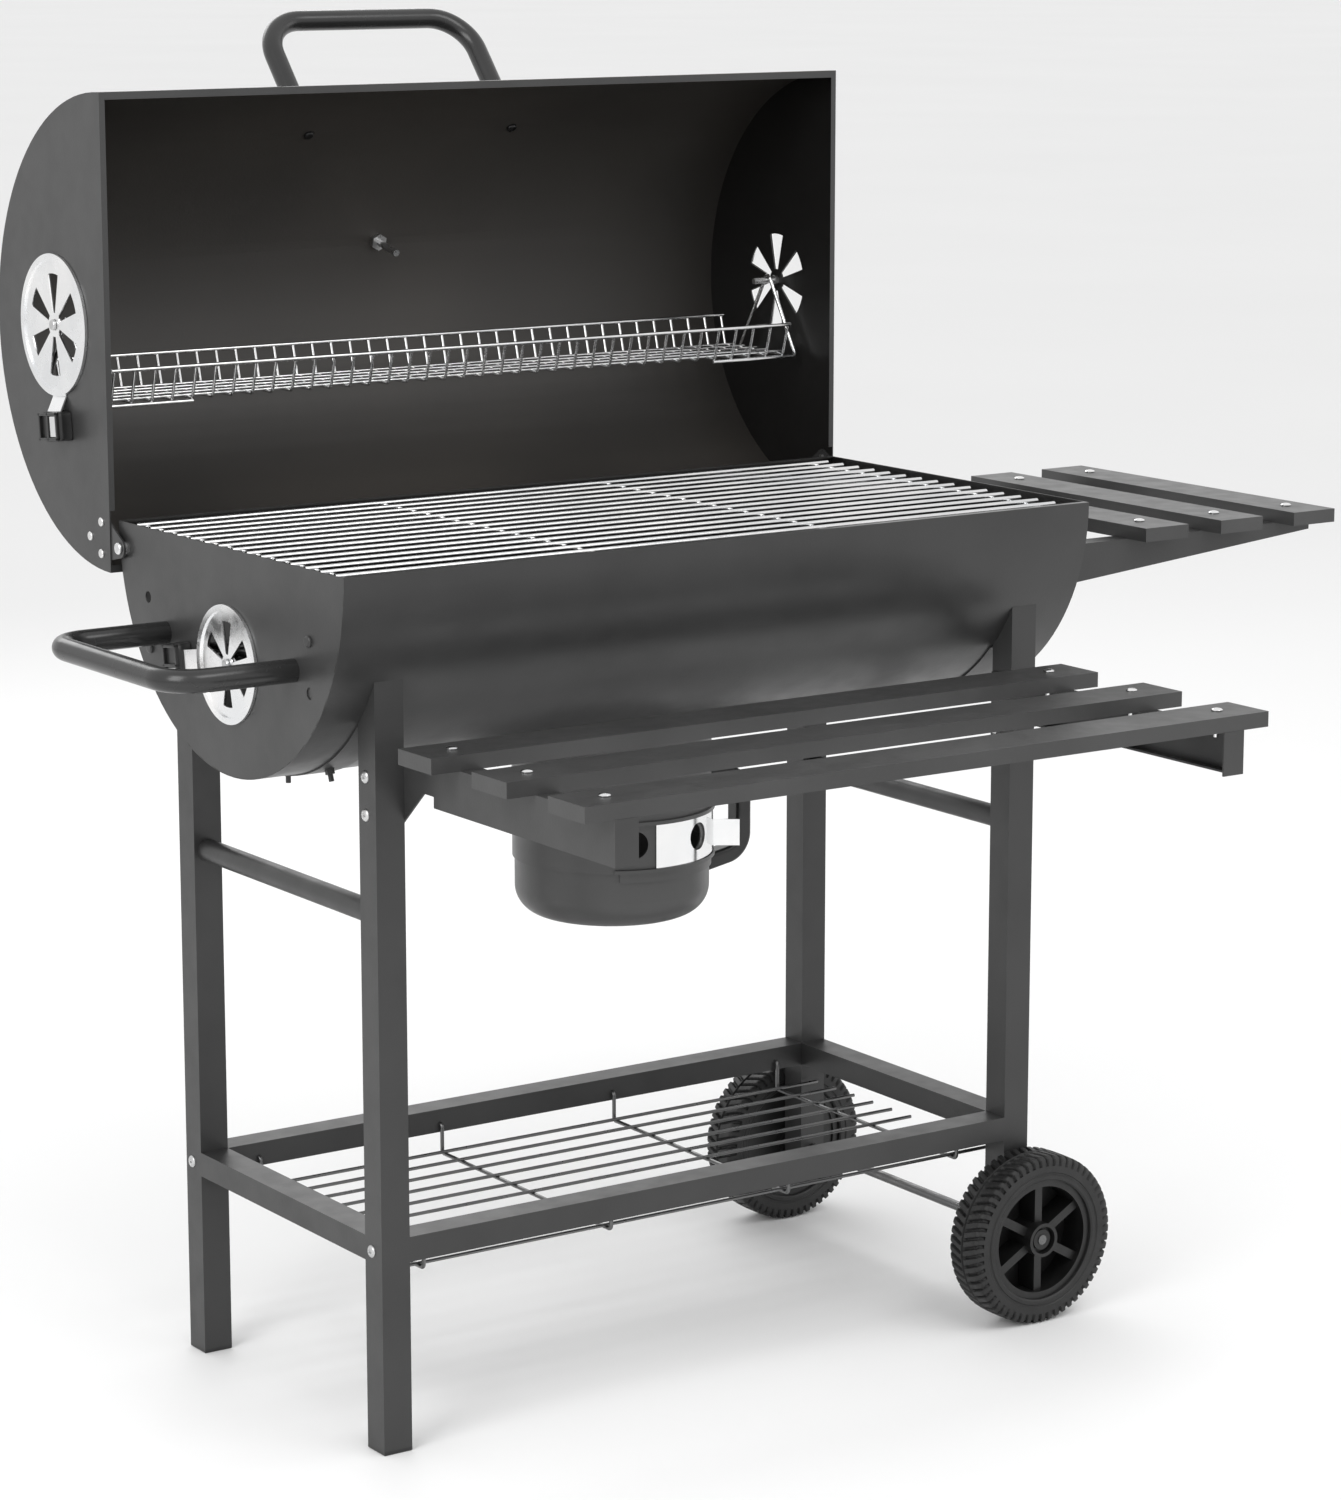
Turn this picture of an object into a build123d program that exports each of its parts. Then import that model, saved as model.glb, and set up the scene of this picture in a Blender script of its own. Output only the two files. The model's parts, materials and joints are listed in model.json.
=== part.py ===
from build123d import *
import math
import os

# Barrel charcoal grill on a wheeled leg frame, modelled in millimetres with the lid open.
# Working frame: X along the barrel, -Y the cook's side, +Z up, floor at z = 0,
# with x = y = 0 on the barrel's vertical centre line. The last step moves the whole
# grill so that its origin is the centre of the bottom of its bounding box.

# ---- driving dimensions ----
sheet = 1.2                      # steel sheet of barrel, lid and slats
gap = 0.4                        # running gap between parts that slide on each other
hole_slack = 0.08                # fixing holes are this much larger in radius

bowl_length, bowl_radius, rim_z = 848.0, 214.5, 831.0
ash_hole_radius = 84.0
lid_length, lid_radius = 862.0, 228.7
lid_plane_y, lid_axis_z = 220.0, 1008.5          # open lid: plane of its mouth and its axis
lip = 6.0                                        # inward lip round the mouths

hinge_y, hinge_z, hinge_plate = 202.8, 805.7, 2.0
hinge_rivets = ((236.4, 827.5), (259.9, 811.0), (237.5, 796.6))

leg_size, leg_wall = 30.0, 1.5
frame_half_x, frame_half_y = 379.7, 189.0        # outer faces of the legs
foot_thickness = 4.0
rail_bottom, rail_height = 183.1, 24.0
crossbar_z, crossbar_radius, tube_wall = 510.0, 11.0, 1.5
saddle_width, saddle_sheet = 33.0, 1.5
saddle_bolt_angles = (-21.0, 0.0, 21.0)          # degrees from straight down

axle_z, axle_radius, bore_slack = 87.6, 5.0, 0.08
wheel_radius, wheel_width, tyre_inner_radius = 87.6, 45.0, 62.0
wheel_gap = 2.6                                  # between a leg and its wheel
wheel_spokes = 6

slat_width, slat_wall = 56.8, 1.2
front_slat_fronts = (-532.1, -410.2, -286.0)
front_slat_length, front_slat_top, front_slat_height = 759.4, 675.8, 14.6
side_slat_lefts = (545.7, 646.6, 746.8)
side_slat_front, side_slat_length = -159.6, 414.6
side_slat_top, side_slat_height = 787.9, 14.0
side_bracket_webs = (-131.0, 190.0)
side_bracket_bolts = (744.0, 764.0)              # heights of its bolts
bracket_sheet, bracket_flange = 2.0, 24.0
front_screw_x, side_screw_offset = 341.0, 15.5
side_bracket_drop = 44.0                         # height of its root
front_leg_bolts = ((-171.0, 640.2), (-171.0, 605.0))     # y and z
rail_bolts = ((-171.0, 194.0), (177.0, 194.0))
hook_pitch, hook_z = 210.0, 192.0                # wire hooks of the lower shelf
shelf_wires, shelf_wire_pitch, shelf_wire_z = 10, 33.0, 165.0
shelf_left_x, shelf_right_x = -340.0, 363.0        # ends of the long wires

vent_bolt_radius = 3.0
lid_vent_radius, lid_vent_y, lid_vent_z = 69.0, 324.0, 1010.0
bowl_vent_radius, bowl_vent_y, bowl_vent_z = 56.0, 0.0, 722.4
lid_vent_tab, bowl_vent_tab = -96.0, -8.0        # where their tabs point, in degrees
vent_openings, vent_half_angle, panel_half_angle = 6, 12.5, 13.5
neck_width, neck_rise, neck_reach = 28.0, 7.0, 24.0
grip_length, grip_width, grip_depth, grip_reach = 42.0, 30.0, 16.0, 29.0

rod_pitch, rod_radius, grate_z, grate_half_x = 27.1, 2.5, 826.0, 411.0
grate_bar_x = (133.0, 398.0)
charcoal_bolts = ((-150.5, 765.4), (154.0, 716.0))
charcoal_free_holes = ((-150.5, 718.0), (157.0, 764.3))
charcoal_z, charcoal_pitch, charcoal_half_y = 712.5, 25.0, 150.0

rack_half_x, rack_pitches = 400.5, 36
rack_top_half, rack_bottom_half = 62.5, 53.5     # half widths of the basket
rack_top_drop, rack_bottom_drop = 41.5, 74.0     # below the vent bolts
hanger_x, hanger_half, hanger_drop, hanger_foot = 418.5, 52.0, 77.0, 108.0

handle_radius, handle_wall = 10.5, 2.0
lid_handle_angle, lid_handle_reach, lid_handle_width = 49.3, 373.0, 242.0
side_handle_half, side_handle_z, side_handle_reach = 122.0, 735.0, 544.5

gauge_angle, gauge_radius, gauge_height, stem_radius = 14.0, 31.0, 16.0, 3.5

collar_radius, collar_wall, collar_bottom = 98.4, 1.6, 490.8
skirt_first, skirt_last, skirt_drop = -119.0, -37.0, 9.0
damper_first, damper_last, damper_sheet = -98.0, -34.0, 1.4   # degrees about the collar
damper_bottom, damper_top = 493.0, 540.0
air_hole_radius, air_hole_z, air_hole_angles = 13.5, 519.0, (-110.4, -69.6)
pot_radius, pot_wall, pot_bottom, pot_top, pot_corner = 96.2, 1.2, 433.0, 502.0, 28.0
pot_handle_reach, pot_handle_top = 154.0, 556.0
pot_rivets = (465.5, 474.5)                      # heights

end_x = bowl_length / 2
lid_end_x = lid_length / 2
leg_x = frame_half_x - leg_size / 2
leg_y = frame_half_y - leg_size / 2
inner_x = frame_half_x - leg_size
inner_y = frame_half_y - leg_size
front_bracket_top = front_slat_top - front_slat_height
side_bracket_top = side_slat_top - side_slat_height


# ---- helpers ----
def block(x0, x1, y0, y1, z0, z1):
    """A box given by its limits."""
    centre = Pos((x0 + x1) / 2, (y0 + y1) / 2, (z0 + z1) / 2)
    return centre * Box(x1 - x0, y1 - y0, z1 - z0)


def rod(start, end, radius):
    """A round bar between two points."""
    start, end = Vector(*start), Vector(*end)
    axis = end - start
    bar = Cylinder(radius, axis.length, align=(Align.CENTER, Align.CENTER, Align.MIN))
    return Plane(origin=start, z_dir=axis) * bar


def sector_face(inner, outer, first, last):
    """The face between two radii and two angles in degrees, about the origin."""
    outside = CenterArc((0, 0), outer, first, last - first)
    inside = CenterArc((0, 0), inner, first, last - first)
    sides = [Line(outside @ 0, inside @ 0), Line(outside @ 1, inside @ 1)]
    return make_face([outside, inside] + sides)


def half_disc(radius, first):
    """A half disc about the origin that starts at the given angle."""
    arc = CenterArc((0, 0), radius, first, 180)
    return make_face([arc, Line(arc @ 1, arc @ 0)])


def along_x(face, x0, x1, y=0.0, z=0.0):
    """Extrude a face drawn in (y, z) from x0 to x1, about the point (y, z)."""
    plane = Plane(origin=(x0, y, z), x_dir=(0, 1, 0), z_dir=(1, 0, 0))
    return extrude(plane * face, x1 - x0)


def along_y(points, y0, y1):
    """Extrude a polygon of (x, z) points from y0 to y1."""
    plane = Plane(origin=(0, y1, 0), x_dir=(1, 0, 0), z_dir=(0, -1, 0))
    return extrude(plane * make_face(Polyline(*points, close=True)), y1 - y0)


def bent_rod(points, bend, radius, bore=0.0):
    """A rod, or a tube with a bore, along a polyline with rounded corners."""
    path = FilletPolyline(*points, radius=bend)
    section = Circle(radius) - Circle(bore) if bore else Circle(radius)
    return sweep(Plane(origin=path @ 0, z_dir=path % 0) * section, path=path)


def fused(shapes):
    """One solid from overlapping solids, in a single union."""
    return shapes[0].fuse(*shapes[1:])


def bolt(head, tip, shank=3.0, head_radius=5.5, head_height=3.0, nut_radius=0.0, nut_at=0.0):
    """A dome-head bolt from the point under its head to its tip, with a nut if it has one."""
    head, tip = Vector(*head), Vector(*tip)
    dome = Cylinder(head_radius, head_height, align=(Align.CENTER, Align.CENTER, Align.MAX))
    dome = fillet(dome.edges().group_by(Axis.Z)[0], head_height * 0.7)
    length = (tip - head).length
    body = dome + Cylinder(shank, length, align=(Align.CENTER, Align.CENTER, Align.MIN))
    if nut_radius:
        body += Pos(0, 0, nut_at) * extrude(RegularPolygon(nut_radius, 6), 4.5)
    return Plane(origin=head, z_dir=tip - head) * body


def both_sides(solid):
    """A solid and its mirror image on the other end of the barrel."""
    return [solid, mirror(solid, Plane.YZ)]


def polar(radius, degrees):
    """The two coordinates of a point at a radius and an angle."""
    return radius * math.cos(math.radians(degrees)), radius * math.sin(math.radians(degrees))


def from_bowl(x, angle, radius):
    """A point at a radius from the bowl's axis, at an angle from straight down."""
    y, z = polar(radius, angle - 90)
    return x, y, rim_z + z


def from_lid(x, angle, radius):
    """A point at a radius from the open lid's axis, at an angle above straight back."""
    y, z = polar(radius, angle)
    return x, lid_plane_y + y, lid_axis_z + z


# ---- barrel ----
def vent_blades(radius, half_angle, x0, x1, y, z):
    """Cutting solids for the sector openings of a vent."""
    angles = [90 + index * 360 / vent_openings for index in range(vent_openings)]
    faces = [sector_face(radius * 0.17, radius * 0.72, a - half_angle, a + half_angle)
             for a in angles]
    return [along_x(face, x0, x1, y, z) for face in faces]


def saddle_bolt_places():
    """The x and the angle of each bolt that holds the bowl down to its saddles."""
    x = frame_half_x - saddle_width / 2
    return [(side * x, angle) for side in (-1, 1) for angle in saddle_bolt_angles]


def bowl_shell():
    """The lower half cylinder, with a lip along both rims and the ash hole below."""
    inner = bowl_radius - sheet
    shell = along_x(sector_face(inner, bowl_radius, 180, 360), -end_x, end_x, 0, rim_z)
    for side in (-1, 1):
        y0, y1 = sorted((side * (inner + sheet / 2), side * (inner - lip)))
        shell += block(sheet - end_x, end_x - sheet, y0, y1, rim_z - sheet, rim_z)
    shell -= rod((0, 0, rim_z - 240), (0, 0, rim_z - 100), ash_hole_radius)
    for x, angle in saddle_bolt_places():
        shell -= rod(from_bowl(x, angle, inner - 5), from_bowl(x, angle, bowl_radius + 5),
                     2.5 + hole_slack)
    return shell


def bowl_end(side):
    """A D-shaped end plate of the bowl with its air vent and its fixing holes."""
    x0, x1 = end_x - sheet, end_x
    plate = along_x(half_disc(bowl_radius - sheet, 180), x0, x1, 0, rim_z)
    holes = [(bowl_vent_y, bowl_vent_z, vent_bolt_radius), (hinge_y, hinge_z, 3.0)]
    holes += [(y, z, 3.0) for y, z in charcoal_bolts]
    holes += [(y, z, 5.5) for y, z in charcoal_free_holes]
    if side > 0:
        holes += [(y, z, 3.0) for y, z in side_bracket_bolt_places()]
    else:
        holes += [(y, side_handle_z, 3.0) for y in (-side_handle_half, side_handle_half)]
    cutters = [rod((x0 - 1, y, z), (x1 + 1, y, z), radius + hole_slack)
               for y, z, radius in holes]
    cutters += vent_blades(bowl_vent_radius, panel_half_angle, x0 - 1, x1 + 1,
                           bowl_vent_y, bowl_vent_z)
    for cutter in cutters:
        plate -= cutter
    return plate if side > 0 else mirror(plate, Plane.YZ)


def lid_shell():
    """The upper half cylinder, standing open, with its lip and its fixing holes."""
    inner = lid_radius - sheet
    shell = along_x(sector_face(inner, lid_radius, -90, 90), -lid_end_x, lid_end_x,
                    lid_plane_y, lid_axis_z)
    for side in (-1, 1):
        z0, z1 = sorted((side * (inner + sheet / 2), side * (inner - lip)))
        shell += block(sheet - lid_end_x, lid_end_x - sheet, lid_plane_y,
                       lid_plane_y + sheet, lid_axis_z + z0, lid_axis_z + z1)
    holes = [(x, lid_handle_angle, 3.0) for x in (-lid_handle_width / 2, lid_handle_width / 2)]
    holes.append((0.0, gauge_angle, stem_radius))
    for x, angle, radius in holes:
        shell -= rod(from_lid(x, angle, inner - 5), from_lid(x, angle, lid_radius + 5),
                     radius + hole_slack)
    return shell


def lid_end(side):
    """A D-shaped end plate of the lid, with its lip notched for the hinge plate."""
    x0, x1 = lid_end_x - sheet, lid_end_x
    plate = along_x(half_disc(lid_radius - sheet, -90), x0, x1, lid_plane_y, lid_axis_z)
    reach = lid_radius - lip - sheet
    edge = block(lid_end_x - lip, x1, lid_plane_y, lid_plane_y + sheet,
                 lid_axis_z - reach, lid_axis_z + reach)
    edge -= block(lid_end_x - lip, x0, lid_plane_y, lid_plane_y + sheet,
                  lid_axis_z - lid_radius, hinge_z + 34)
    plate += edge
    holes = [(lid_vent_y, lid_vent_z, vent_bolt_radius)]
    holes += [(y, z, 2.5) for y, z in hinge_rivets]
    cutters = [rod((x0 - 1, y, z), (x1 + 1, y, z), radius + hole_slack)
               for y, z, radius in holes]
    cutters += vent_blades(lid_vent_radius, panel_half_angle, x0 - 1, x1 + 1,
                           lid_vent_y, lid_vent_z)
    for cutter in cutters:
        plate -= cutter
    return plate if side > 0 else mirror(plate, Plane.YZ)


def hinge_plate_solid():
    """The plate riveted inside a lid end that turns on the bowl's hinge bolt."""
    corners = [(hinge_y, hinge_z, 9.5)] + [(y, z, 8.0) for y, z in hinge_rivets]
    outline = make_hull([(Pos(y, z) * Circle(r)).edge() for y, z, r in corners])
    x1 = lid_end_x - sheet
    plate = along_x(outline, x1 - hinge_plate, x1)
    plate -= rod((x1 - 9, hinge_y, hinge_z), (x1 + 1, hinge_y, hinge_z), 3.0 + bore_slack)
    for y, z in hinge_rivets:
        plate -= rod((x1 - 9, y, z), (x1 + 1, y, z), 2.5 + hole_slack)
    return plate


def hinge_rivet(y, z):
    """A dome rivet through a lid end and its hinge plate."""
    return bolt((lid_end_x, y, z), (lid_end_x - sheet - hinge_plate - 1.5, y, z),
                shank=2.5, head_radius=4.5, head_height=2.0)


def hinge_bolt():
    """The bolt that carries one end of the lid, with its spacer and its nut."""
    head_x = lid_end_x - sheet + gap
    spacer = rod((end_x, hinge_y, hinge_z),
                 (lid_end_x - sheet - hinge_plate - gap, hinge_y, hinge_z), 6.5)
    return spacer + bolt((head_x, hinge_y, hinge_z), (end_x - 8, hinge_y, hinge_z),
                         head_radius=6.0, nut_radius=5.5, nut_at=head_x - end_x + sheet)


# ---- vents ----
def vent_neck(radius, x0):
    """The tab of a vent disc, drawn towards +Y: it slopes outwards and ends flat."""
    rise, start = x0 + neck_rise, radius + grip_reach - grip_width / 2
    outline = [(radius - 4, x0), (radius + 1, x0), (start + 1, rise),
               (radius + neck_reach, rise), (radius + neck_reach, rise + sheet),
               (start + 0.4, rise + sheet), (radius + 0.4, x0 + sheet),
               (radius - 4, x0 + sheet)]
    plane = Plane(origin=(0, 0, neck_width / 2), x_dir=(0, 1, 0), z_dir=(0, 0, -1))
    return extrude(plane * make_face(Polyline(*outline, close=True)), neck_width)


def vent_disc(side, radius, panel_x, y, z, tab_angle):
    """A turning vent disc with six openings, a raised rim and a tab for its grip."""
    x0 = panel_x + gap
    x1 = x0 + sheet
    disc = along_x(Circle(radius), x0, x1, y, z)
    disc += along_x(Circle(radius) - Circle(radius - 6), x0, x1 + 1.8, y, z)
    disc += Pos(0, y, z) * Rot(tab_angle, 0, 0) * vent_neck(radius, x0)
    for cutter in vent_blades(radius, vent_half_angle, x0 - 1, x1 + 3, y, z):
        disc -= cutter
    disc -= rod((x0 - 1, y, z), (x1 + 3, y, z), vent_bolt_radius + bore_slack)
    return disc if side > 0 else mirror(disc, Plane.YZ)


def vent_grip(side, radius, panel_x, y, z, tab_angle):
    """The moulded grip pushed onto a vent's tab."""
    x0 = panel_x + gap
    middle = radius + grip_reach
    grip = along_x(Pos(middle, 0) * RectangleRounded(grip_width, grip_length, 3),
                   x0 + 0.6, x0 + 0.6 + grip_depth)
    grip = fillet(grip.edges().group_by(Axis.X)[-1], 2.0)
    grip -= vent_neck(radius, x0)
    grip = Pos(0, y, z) * Rot(tab_angle, 0, 0) * grip
    return grip if side > 0 else mirror(grip, Plane.YZ)


def vent_bolt(panel_x, inner_length, y, z):
    """The bolt that a vent disc turns on, with its nut inside the barrel."""
    head_x = panel_x + gap + sheet + gap
    return bolt((head_x, y, z), (panel_x - sheet - inner_length, y, z), vent_bolt_radius,
                nut_radius=5.5, nut_at=head_x - panel_x + sheet)


# ---- leg frame ----
def leg_bolts(front):
    """The y and z of the bolts through a front (-1) or a rear (1) leg."""
    places = [(y, z) for y, z in rail_bolts if y * front > 0]
    return places + list(front_leg_bolts) if front < 0 else places


def frame_bolt(y, z):
    """A dome bolt through a right leg, with its nut on the part inside."""
    inner = bracket_sheet if (y, z) in front_leg_bolts else leg_wall
    return bolt((frame_half_x, y, z), (inner_x - inner - 8, y, z), head_radius=6.0,
                nut_radius=5.5, nut_at=leg_size + inner)


def leg(side, front, bottom):
    """A square tube leg, its top shaped to the bowl."""
    x, y = side * leg_x, front * leg_y
    half, bore = leg_size / 2, leg_size / 2 - leg_wall
    top = rim_z - math.sqrt(bowl_radius ** 2 - frame_half_y ** 2)
    tube = block(x - half, x + half, y - half, y + half, bottom, top)
    tube -= block(x - bore, x + bore, y - bore, y + bore, bottom, top)
    tube -= rod((x - leg_size, 0, rim_z), (x + leg_size, 0, rim_z), bowl_radius)
    for y_bolt, z_bolt in leg_bolts(front):
        tube -= rod((x - leg_size, y_bolt, z_bolt), (x + leg_size, y_bolt, z_bolt),
                    3.0 + hole_slack)
    if side > 0:
        tube -= rod((x, y - leg_size, axle_z), (x, y + leg_size, axle_z),
                    axle_radius + hole_slack)
    return tube


def leg_foot(front):
    """The plastic foot pushed into the bottom of a left leg."""
    x, y = -leg_x, front * leg_y
    half, plug = leg_size / 2, leg_size / 2 - leg_wall - hole_slack
    foot = block(x - half, x + half, y - half, y + half, 0, foot_thickness)
    foot = fillet(foot.edges().group_by(Axis.Z)[0], 1.5)
    return foot + block(x - plug, x + plug, y - plug, y + plug, foot_thickness - 1, 18)


def hook_places():
    """The x of each cross wire of the lower shelf."""
    return [(index - 1.5) * hook_pitch for index in range(4)]


def rail(x0, x1, y0, y1):
    """A lower rail: a channel turned upside down, with its ends closed."""
    z0, z1 = rail_bottom, rail_bottom + rail_height
    body = block(x0, x1, y0, y1, z0, z1)
    return body - block(x0 + leg_wall, x1 - leg_wall, y0 + leg_wall, y1 - leg_wall,
                        z0, z1 - leg_wall)


def long_rail(front):
    """The front (-1) or rear (1) rail, with its bolt holes and its hook holes."""
    y0, y1 = sorted((front * inner_y, front * frame_half_y))
    body = rail(-inner_x, inner_x, y0, y1)
    for y, z in rail_bolts:
        if y * front > 0:
            body -= rod((-inner_x - 1, y, z), (inner_x + 1, y, z), 3.0 + hole_slack)
    for x in hook_places():
        body -= rod((x, front * (inner_y - 1), hook_z), (x, front * (inner_y + 3), hook_z),
                    2.0 + hole_slack)
    return body


def saddle(side):
    """The curved strap between a front and a rear leg that the bowl sits on."""
    reach = math.degrees(math.asin(inner_y / (bowl_radius + saddle_sheet)))
    face = sector_face(bowl_radius, bowl_radius + saddle_sheet, 270 - reach, 270 + reach)
    x0, x1 = sorted((side * frame_half_x, side * (frame_half_x - saddle_width)))
    strap = along_x(face, x0, x1, 0, rim_z)
    for x, angle in saddle_bolt_places():
        if x * side > 0:
            strap -= rod(from_bowl(x, angle, bowl_radius - 5),
                         from_bowl(x, angle, bowl_radius + 5), 2.5 + hole_slack)
    return strap


def saddle_bolt(x, angle):
    """A bolt down through the bowl and its saddle."""
    seat = bowl_radius - sheet - 0.1
    return bolt(from_bowl(x, angle, seat), from_bowl(x, angle, seat + 14), 2.5,
                nut_radius=4.5, nut_at=sheet + saddle_sheet + 0.1, head_height=2.0)


def lower_shelf():
    """The wire shelf hung between the rails: long wires on cross wires that end in hooks."""
    long_radius, cross_radius = 1.75, 2.0
    cross_z = shelf_wire_z - long_radius - cross_radius + 0.8
    first_y = -(shelf_wires - 1) / 2 * shelf_wire_pitch
    wires = [rod((shelf_left_x, first_y + index * shelf_wire_pitch, shelf_wire_z),
                 (shelf_right_x, first_y + index * shelf_wire_pitch, shelf_wire_z), long_radius)
             for index in range(shelf_wires)]
    end_y, drop_y = inner_y + leg_wall, inner_y - 3.5
    for x in hook_places():
        points = [(x, -end_y, hook_z), (x, -drop_y, hook_z), (x, -drop_y, cross_z),
                  (x, drop_y, cross_z), (x, drop_y, hook_z), (x, end_y, hook_z)]
        wires.append(bent_rod(points, 4.0, cross_radius))
    return fused(wires)


# ---- wheels ----
def wheel_hub(side):
    """A wheel disc with a web, six spokes, a rim ring and a recessed boss."""
    half = wheel_width / 2
    hub = Cylinder(tyre_inner_radius, wheel_width - 8) - Cylinder(tyre_inner_radius - 7, 60)
    hub += Pos(0, 0, 8 - half) * Cylinder(tyre_inner_radius - 3, 4)
    for index in range(wheel_spokes):
        hub += Rot(0, 0, 90 + index * 360 / wheel_spokes) * Pos(35.5, 0, 1) * Box(43, 9, 24)
    hub += Cylinder(17.5, wheel_width)
    hub -= Pos(0, 0, half - 3) * Cylinder(14.0, 8)
    hub -= Cylinder(axle_radius + bore_slack, wheel_width + 2)
    return wheel_place(side) * hub


def wheel_tyre(side):
    """The solid tyre that runs round a wheel disc."""
    tyre = Cylinder(wheel_radius, wheel_width) - Cylinder(tyre_inner_radius, wheel_width)
    tyre = fillet(tyre.edges().filter_by(GeomType.CIRCLE).sort_by(SortBy.RADIUS)[-2:], 8)
    return wheel_place(side) * tyre


def wheel_place(side):
    """Where a wheel goes, with its outer face away from the leg."""
    y = side * (frame_half_y + wheel_gap + wheel_width / 2)
    return Plane(origin=(leg_x, y, axle_z), x_dir=(1, 0, 0), z_dir=(0, side, 0))


def axle():
    """The axle through both right legs."""
    reach = frame_half_y + wheel_gap + wheel_width - 2
    return rod((leg_x, -reach, axle_z), (leg_x, reach, axle_z), axle_radius)


def axle_washers():
    """The spacers between legs and wheels, and the push caps in the wheels' recesses."""
    rings = []
    for side in (-1, 1):
        stations = ((frame_half_y, frame_half_y + wheel_gap - gap, 10.0),
                    (frame_half_y + wheel_gap + wheel_width - 7 + gap,
                     frame_half_y + wheel_gap + wheel_width - 3, 10.5))
        for y0, y1, radius in stations:
            start, end = (leg_x, side * y0, axle_z), (leg_x, side * y1, axle_z)
            rings.append(rod(start, end, radius) - rod(start, end, axle_radius))
    return rings


# ---- shelves ----
def slat(x0, x1, y0, y1, top, height, screws):
    """A shelf slat folded from sheet: a tray turned upside down, with its screw holes."""
    tray = block(x0, x1, y0, y1, top - height, top)
    tray -= block(x0 + slat_wall, x1 - slat_wall, y0 + slat_wall, y1 - slat_wall,
                  top - height, top - slat_wall)
    for x, y in screws:
        tray -= rod((x, y, top - height), (x, y, top + 1), 2.5 + hole_slack)
    return tray


def front_screws(front):
    """The screw places of a front slat."""
    return [(side * front_screw_x, front + slat_width / 2) for side in (-1, 1)]


def side_screws(left):
    """The screw places of a side slat."""
    return [(left + slat_width / 2, web + side_screw_offset) for web in side_bracket_webs]


def shelf_screw(x, y, top, height):
    """A dome screw down through a slat and the bracket below it."""
    return bolt((x, y, top), (x, y, top - height - bracket_sheet - 8), 2.5, nut_radius=4.5,
                nut_at=height + bracket_sheet)


def front_bracket(side):
    """A folded bracket of the front shelf, bolted to the inner face of a front leg."""
    x0, x1 = inner_x - bracket_sheet, inner_x
    top, low, front = front_bracket_top, 619.8, -532.5
    heel, notch = low + 10.4, -240.0
    outline = [(front, low), (notch, low), (notch, heel), (notch + 17, heel),
               (-185.3, 596.3), (-inner_y - 1, 590.0), (-inner_y - 1, top), (front, top)]
    web = extrude(Plane(origin=(x0, 0, 0), x_dir=(0, 1, 0), z_dir=(1, 0, 0))
                  * make_face(Polyline(*outline, close=True)), bracket_sheet)
    flange_x = inner_x - bracket_flange
    body = web + block(flange_x, x1, front, -195, top - bracket_sheet, top)
    body += block(flange_x, x1, front, front + bracket_sheet, low, top)
    body += block(inner_x - 12, x1, front, notch, low, low + bracket_sheet)
    for slat_front in front_slat_fronts:
        for x, y in front_screws(slat_front):
            body -= rod((x, y, low + 20), (x, y, top + 1), 2.5 + hole_slack)
    for y, z in front_leg_bolts:
        body -= rod((x0 - 1, y, z), (x1 + 1, y, z), 3.0 + hole_slack)
    return body if side > 0 else mirror(body, Plane.YZ)


def side_bracket(web):
    """A tapered bracket of the side shelf, bolted to the bowl's right end."""
    root, tip, top = end_x, 794.0, side_bracket_top
    low = top - side_bracket_drop
    body = along_y([(root, low), (tip, top - 10), (tip, top), (root, top)],
                   web, web + bracket_sheet)
    body += block(root + bracket_sheet, tip, web, web + bracket_flange, top - bracket_sheet, top)
    y0, y1 = side_bracket_root(web)
    body += block(root, root + bracket_sheet, y0, y1, low, top)
    for left in side_slat_lefts:
        for x, y in side_screws(left):
            body -= rod((x, y, top - 8), (x, y, top + 1), 2.5 + hole_slack)
    for y, z in side_bracket_bolt_places():
        body -= rod((root - 1, y, z), (root + 3, y, z), 3.0 + hole_slack)
    return body


def side_bracket_root(web):
    """The y limits of a bracket's root flange, which turns towards the barrel's middle."""
    if web < 0:
        return web, web + bracket_flange
    return web + bracket_sheet - bracket_flange, web + bracket_sheet


def side_bracket_bolt_places():
    """The y and z of the bolts that hold the side brackets to the bowl."""
    middles = [sum(side_bracket_root(web)) / 2 for web in side_bracket_webs]
    return [(y, z) for y in middles for z in side_bracket_bolts]


# ---- grates ----
def cooking_grate():
    """Rods along the barrel on four cross bars."""
    bar_radius = 3.0
    bar_z = grate_z - rod_radius - bar_radius + 0.8
    count = 16
    rods = [rod((-grate_half_x, y, grate_z), (grate_half_x, y, grate_z), rod_radius)
            for y in [(index - (count - 1) / 2) * rod_pitch for index in range(count)]]
    for x in grate_bar_x:
        rods += [rod((side * x, -204, bar_z), (side * x, 204, bar_z), bar_radius)
                 for side in (-1, 1)]
    return fused(rods)


def grate_ledge():
    """The angle inside a bowl end that the cooking grate rests on."""
    top = grate_z - rod_radius - 6.0 + 0.8 - 0.3
    x1 = end_x - sheet
    return (block(x1 - 32, x1, -186, 186, top - 1.5, top)
            + block(x1 - 1.5, x1, -186, 186, top - 12, top))


def charcoal_clip(y, z):
    """A strap inside a bowl end with a foot that carries the charcoal grate."""
    x1, low = end_x - sheet, charcoal_z - 3 - 1.5
    clip = block(x1 - 1.5, x1, y - 9, y + 9, low, z + 9)
    clip += block(x1 - 32, x1, y - 9, y + 9, low, low + 1.5)
    return clip - rod((x1 - 5, y, z), (x1 + 1, y, z), 3.0 + hole_slack)


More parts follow.
